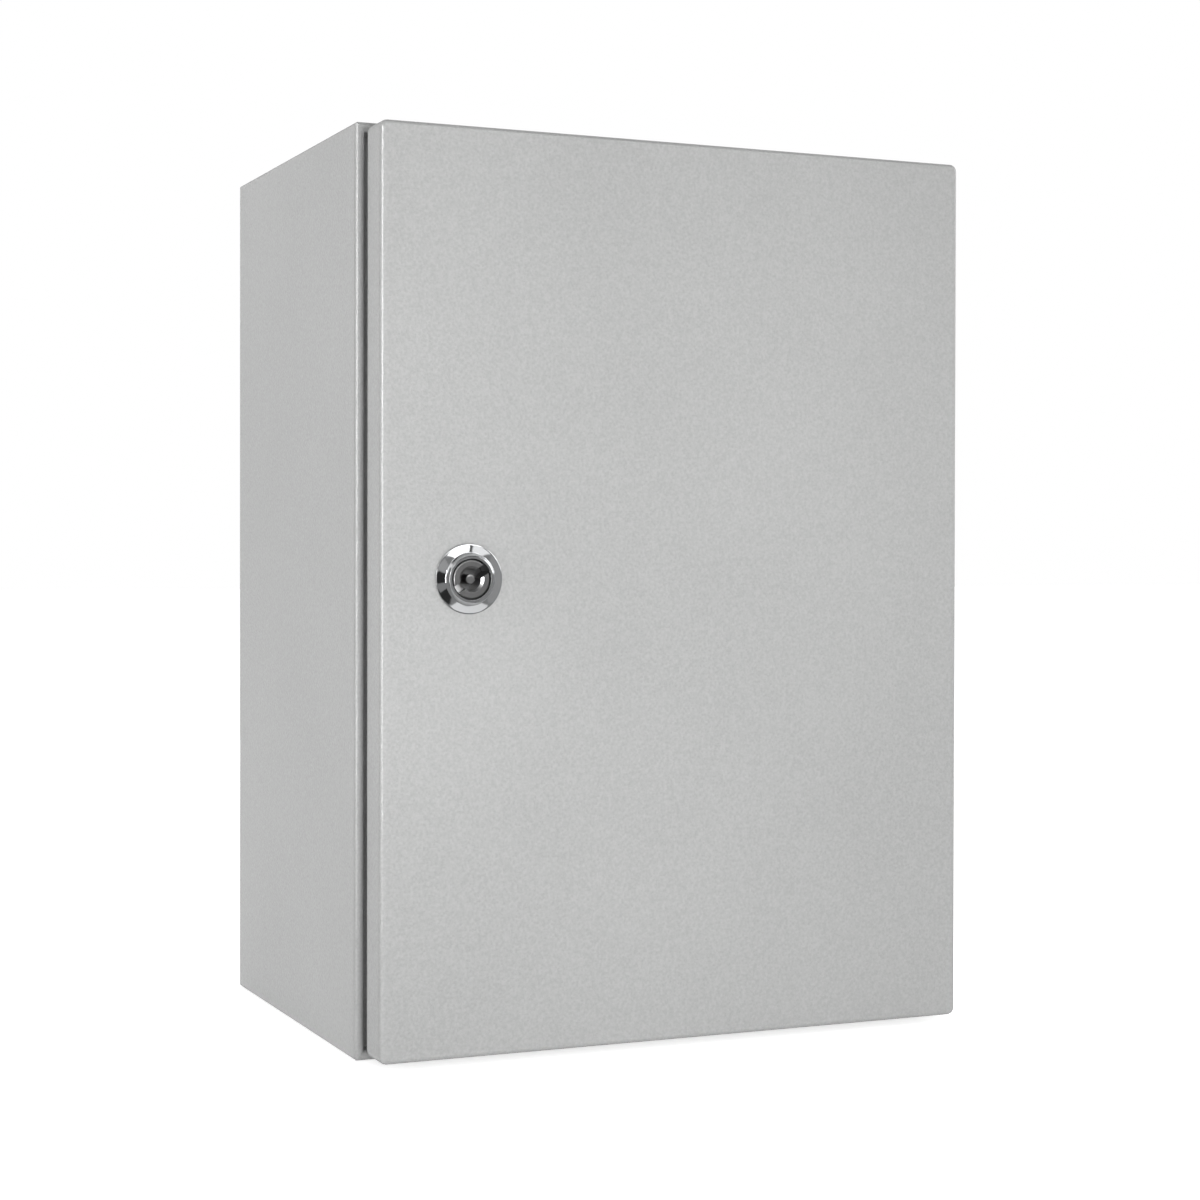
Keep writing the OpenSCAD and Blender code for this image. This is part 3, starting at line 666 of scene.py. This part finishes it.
paper.node_tree.links.new(lift.outputs["Result"], paper_face["Emission Strength"])
floor.data.materials.append(paper)
floor.visible_glossy = False

world = bpy.data.worlds.new("studio")
bpy.context.scene.world = world
world.use_nodes = True
sky = world.node_tree
sky.nodes["Background"].inputs["Strength"].default_value = 1.0
DIFFUSE_SKY = 0.415           # what dull surfaces get from all round
MIRROR_SKY = 0.26             # what polished ones mirror between the reflectors


def sky_node(kind, settings=None, *values):
    made = sky.nodes.new(kind)
    for key, value in (settings or {}).items():
        setattr(made, key, value)
    for socket, value in zip(made.inputs, values):
        if isinstance(value, bpy.types.NodeSocket):
            sky.links.new(value, socket)
        elif value is not None:
            socket.default_value = value
    return made.outputs[0]


def sky_maths(how, a, b):
    return sky_node("ShaderNodeMath", {"operation": how}, a, b)


way = sky.nodes.new("ShaderNodeTexCoord").outputs["Generated"]
axes = sky.nodes.new("ShaderNodeSeparateXYZ")
sky.links.new(way, axes.inputs[0])
bearing = sky_maths("ARCTAN2", axes.outputs[0], sky_maths("MULTIPLY", axes.outputs[1], -1.0))
height = axes.outputs[2]


def band(value, start, end, blur):
    """One between start and end, nothing beyond them, with soft edges."""
    up = sky_node("ShaderNodeMapRange", {"interpolation_type": "SMOOTHSTEP"},
                  value, start - blur, start + blur, 0.0, 1.0)
    down = sky_node("ShaderNodeMapRange", {"interpolation_type": "SMOOTHSTEP"},
                    value, end - blur, end + blur, 1.0, 0.0)
    return sky_maths("MULTIPLY", up, down)


# Reflectors, each from one bearing to another (degrees right of the front), from one height to
# another (of the direction that they are seen in, -1 to 1), with its brightness and its blur.
REFLECTORS = (
    (-200, 200, 0.60, 0.76, 0.9, 0.04),       # overhead ring
    (-30, 60, 0.63, 0.76, 3.0, 0.03),         # its bright front
    (-86, -60, 0.28, 0.62, 1.2, 0.04),        # high on the left
    (66, 90, 0.15, 0.60, 3.6, 0.04),          # high on the right
    (-200, 200, 0.84, 1.2, 0.08, 0.04),       # dark ceiling
    (-200, 200, -1.2, -0.66, 0.25, 0.05),     # dim ground
    (0, 46, -0.63, -0.42, 0.95, 0.015),       # low in front
    (-4, 26, 0.37, 0.60, 2.6, 0.015),         # bright, above the front
    (24.5, 31, 0.30, 0.64, 0.06, 0.01),       # dark bar beside it
    (29, 47, 0.36, 0.60, 1.15, 0.015),        # above the front, on the right
    (48, 75, -0.42, 0.35, 0.36, 0.02),        # dull wall on the right
    (-30, -2, -0.47, -0.25, 0.03, 0.015),     # black flag, low
    (-30, -8, -0.09, 0.14, 0.03, 0.015),      # black flag at eye height
    (-30, -5, 0.15, 0.36, 0.42, 0.015),       # dull card over it
    (95, 170, -0.1, 0.5, 1.0, 0.1),           # behind, on the right
    (-185, -152, -0.6, 0.6, 0.9, 0.05),       # behind
    (-148, -96, -0.5, 0.55, 0.02, 0.05),      # black flag behind, on the left
)
mirrored = sky_node("ShaderNodeValue")
mirrored.default_value = MIRROR_SKY
for left, right, low, high, level, blur in REFLECTORS:
    area = sky_maths("MULTIPLY", band(bearing, math.radians(left), math.radians(right), blur),
                     band(height, low, high, blur))
    mirrored = sky_maths(
        "ADD", sky_maths("MULTIPLY", mirrored, sky_maths("SUBTRACT", 1.0, area)),
        sky_maths("MULTIPLY", area, level),
    )
rays = sky.nodes.new("ShaderNodeLightPath")
camera_ray = rays.outputs["Is Camera Ray"]
mirror_ray = rays.outputs["Is Glossy Ray"]
unseen = sky_maths(
    "ADD", sky_maths("MULTIPLY", mirror_ray, mirrored),
    sky_maths("MULTIPLY", sky_maths("SUBTRACT", 1.0, mirror_ray), DIFFUSE_SKY),
)
mixed = sky_maths(
    "ADD", camera_ray, sky_maths("MULTIPLY", sky_maths("SUBTRACT", 1.0, camera_ray), unseen)
)
sky.links.new(mixed, sky.nodes["Background"].inputs["Color"])


def soft_box(name, place, aim, size, power, mirrored=False):
    """A rectangular lamp, in metres and watts, never seen itself.

    It either lights dull surfaces or is mirrored by polished ones.
    """
    light = bpy.data.lights.new(name, "AREA")
    light.shape = "RECTANGLE"
    light.size, light.size_y = size
    light.energy = power
    lamp = bpy.data.objects.new(name, light)
    bpy.context.scene.collection.objects.link(lamp)
    lamp.location = place
    lamp.rotation_euler = (Vector(aim) - Vector(place)).to_track_quat("-Z", "Y").to_euler()
    lamp.visible_camera = False
    lamp.visible_glossy = mirrored
    lamp.visible_diffuse = not mirrored


soft_box("left_soft_box", (-1.75, -0.45, 0.0), (0, -0.1, 0), (0.6, 1.3), 10)
soft_box("left_edge_strip", (-1.68, -0.80, 0.2), (0, -0.19, 0.2), (0.24, 1.1), 26, mirrored=True)
soft_box("front_soft_box", (-0.15, -0.75, -0.13), (-0.03, -0.19, -0.02), (0.5, 0.5), 3.7)
soft_box("top_soft_box", (0.6, 0.95, 2.0), (0.2, 0.3, 0), (1.4, 2.0), 14)
soft_box("rear_soft_box", (0.2, 1.3, 0.3), (0, 0, 0), (0.8, 0.8), 5)
soft_box("right_soft_box", (1.5, -0.1, 0.1), (0.1, -0.1, 0), (0.7, 0.7), 6)

CAMERA_PLACE = (-0.38847, -0.99749, 0.01327)
CAMERA_TILT, CAMERA_ROLL, CAMERA_TURN = math.pi / 2 - 0.00993, -0.00187, -0.41202
bpy.ops.object.camera_add(
    location=CAMERA_PLACE, rotation=(CAMERA_TILT, CAMERA_ROLL, CAMERA_TURN)
)
camera = bpy.context.object
camera.name = "camera"
camera.data.lens = 69.85
camera.data.sensor_width = 36
camera.data.shift_y = -0.01658
camera.data.clip_start = 0.01
bpy.context.scene.camera = camera
bpy.context.scene.view_settings.view_transform = "Standard"
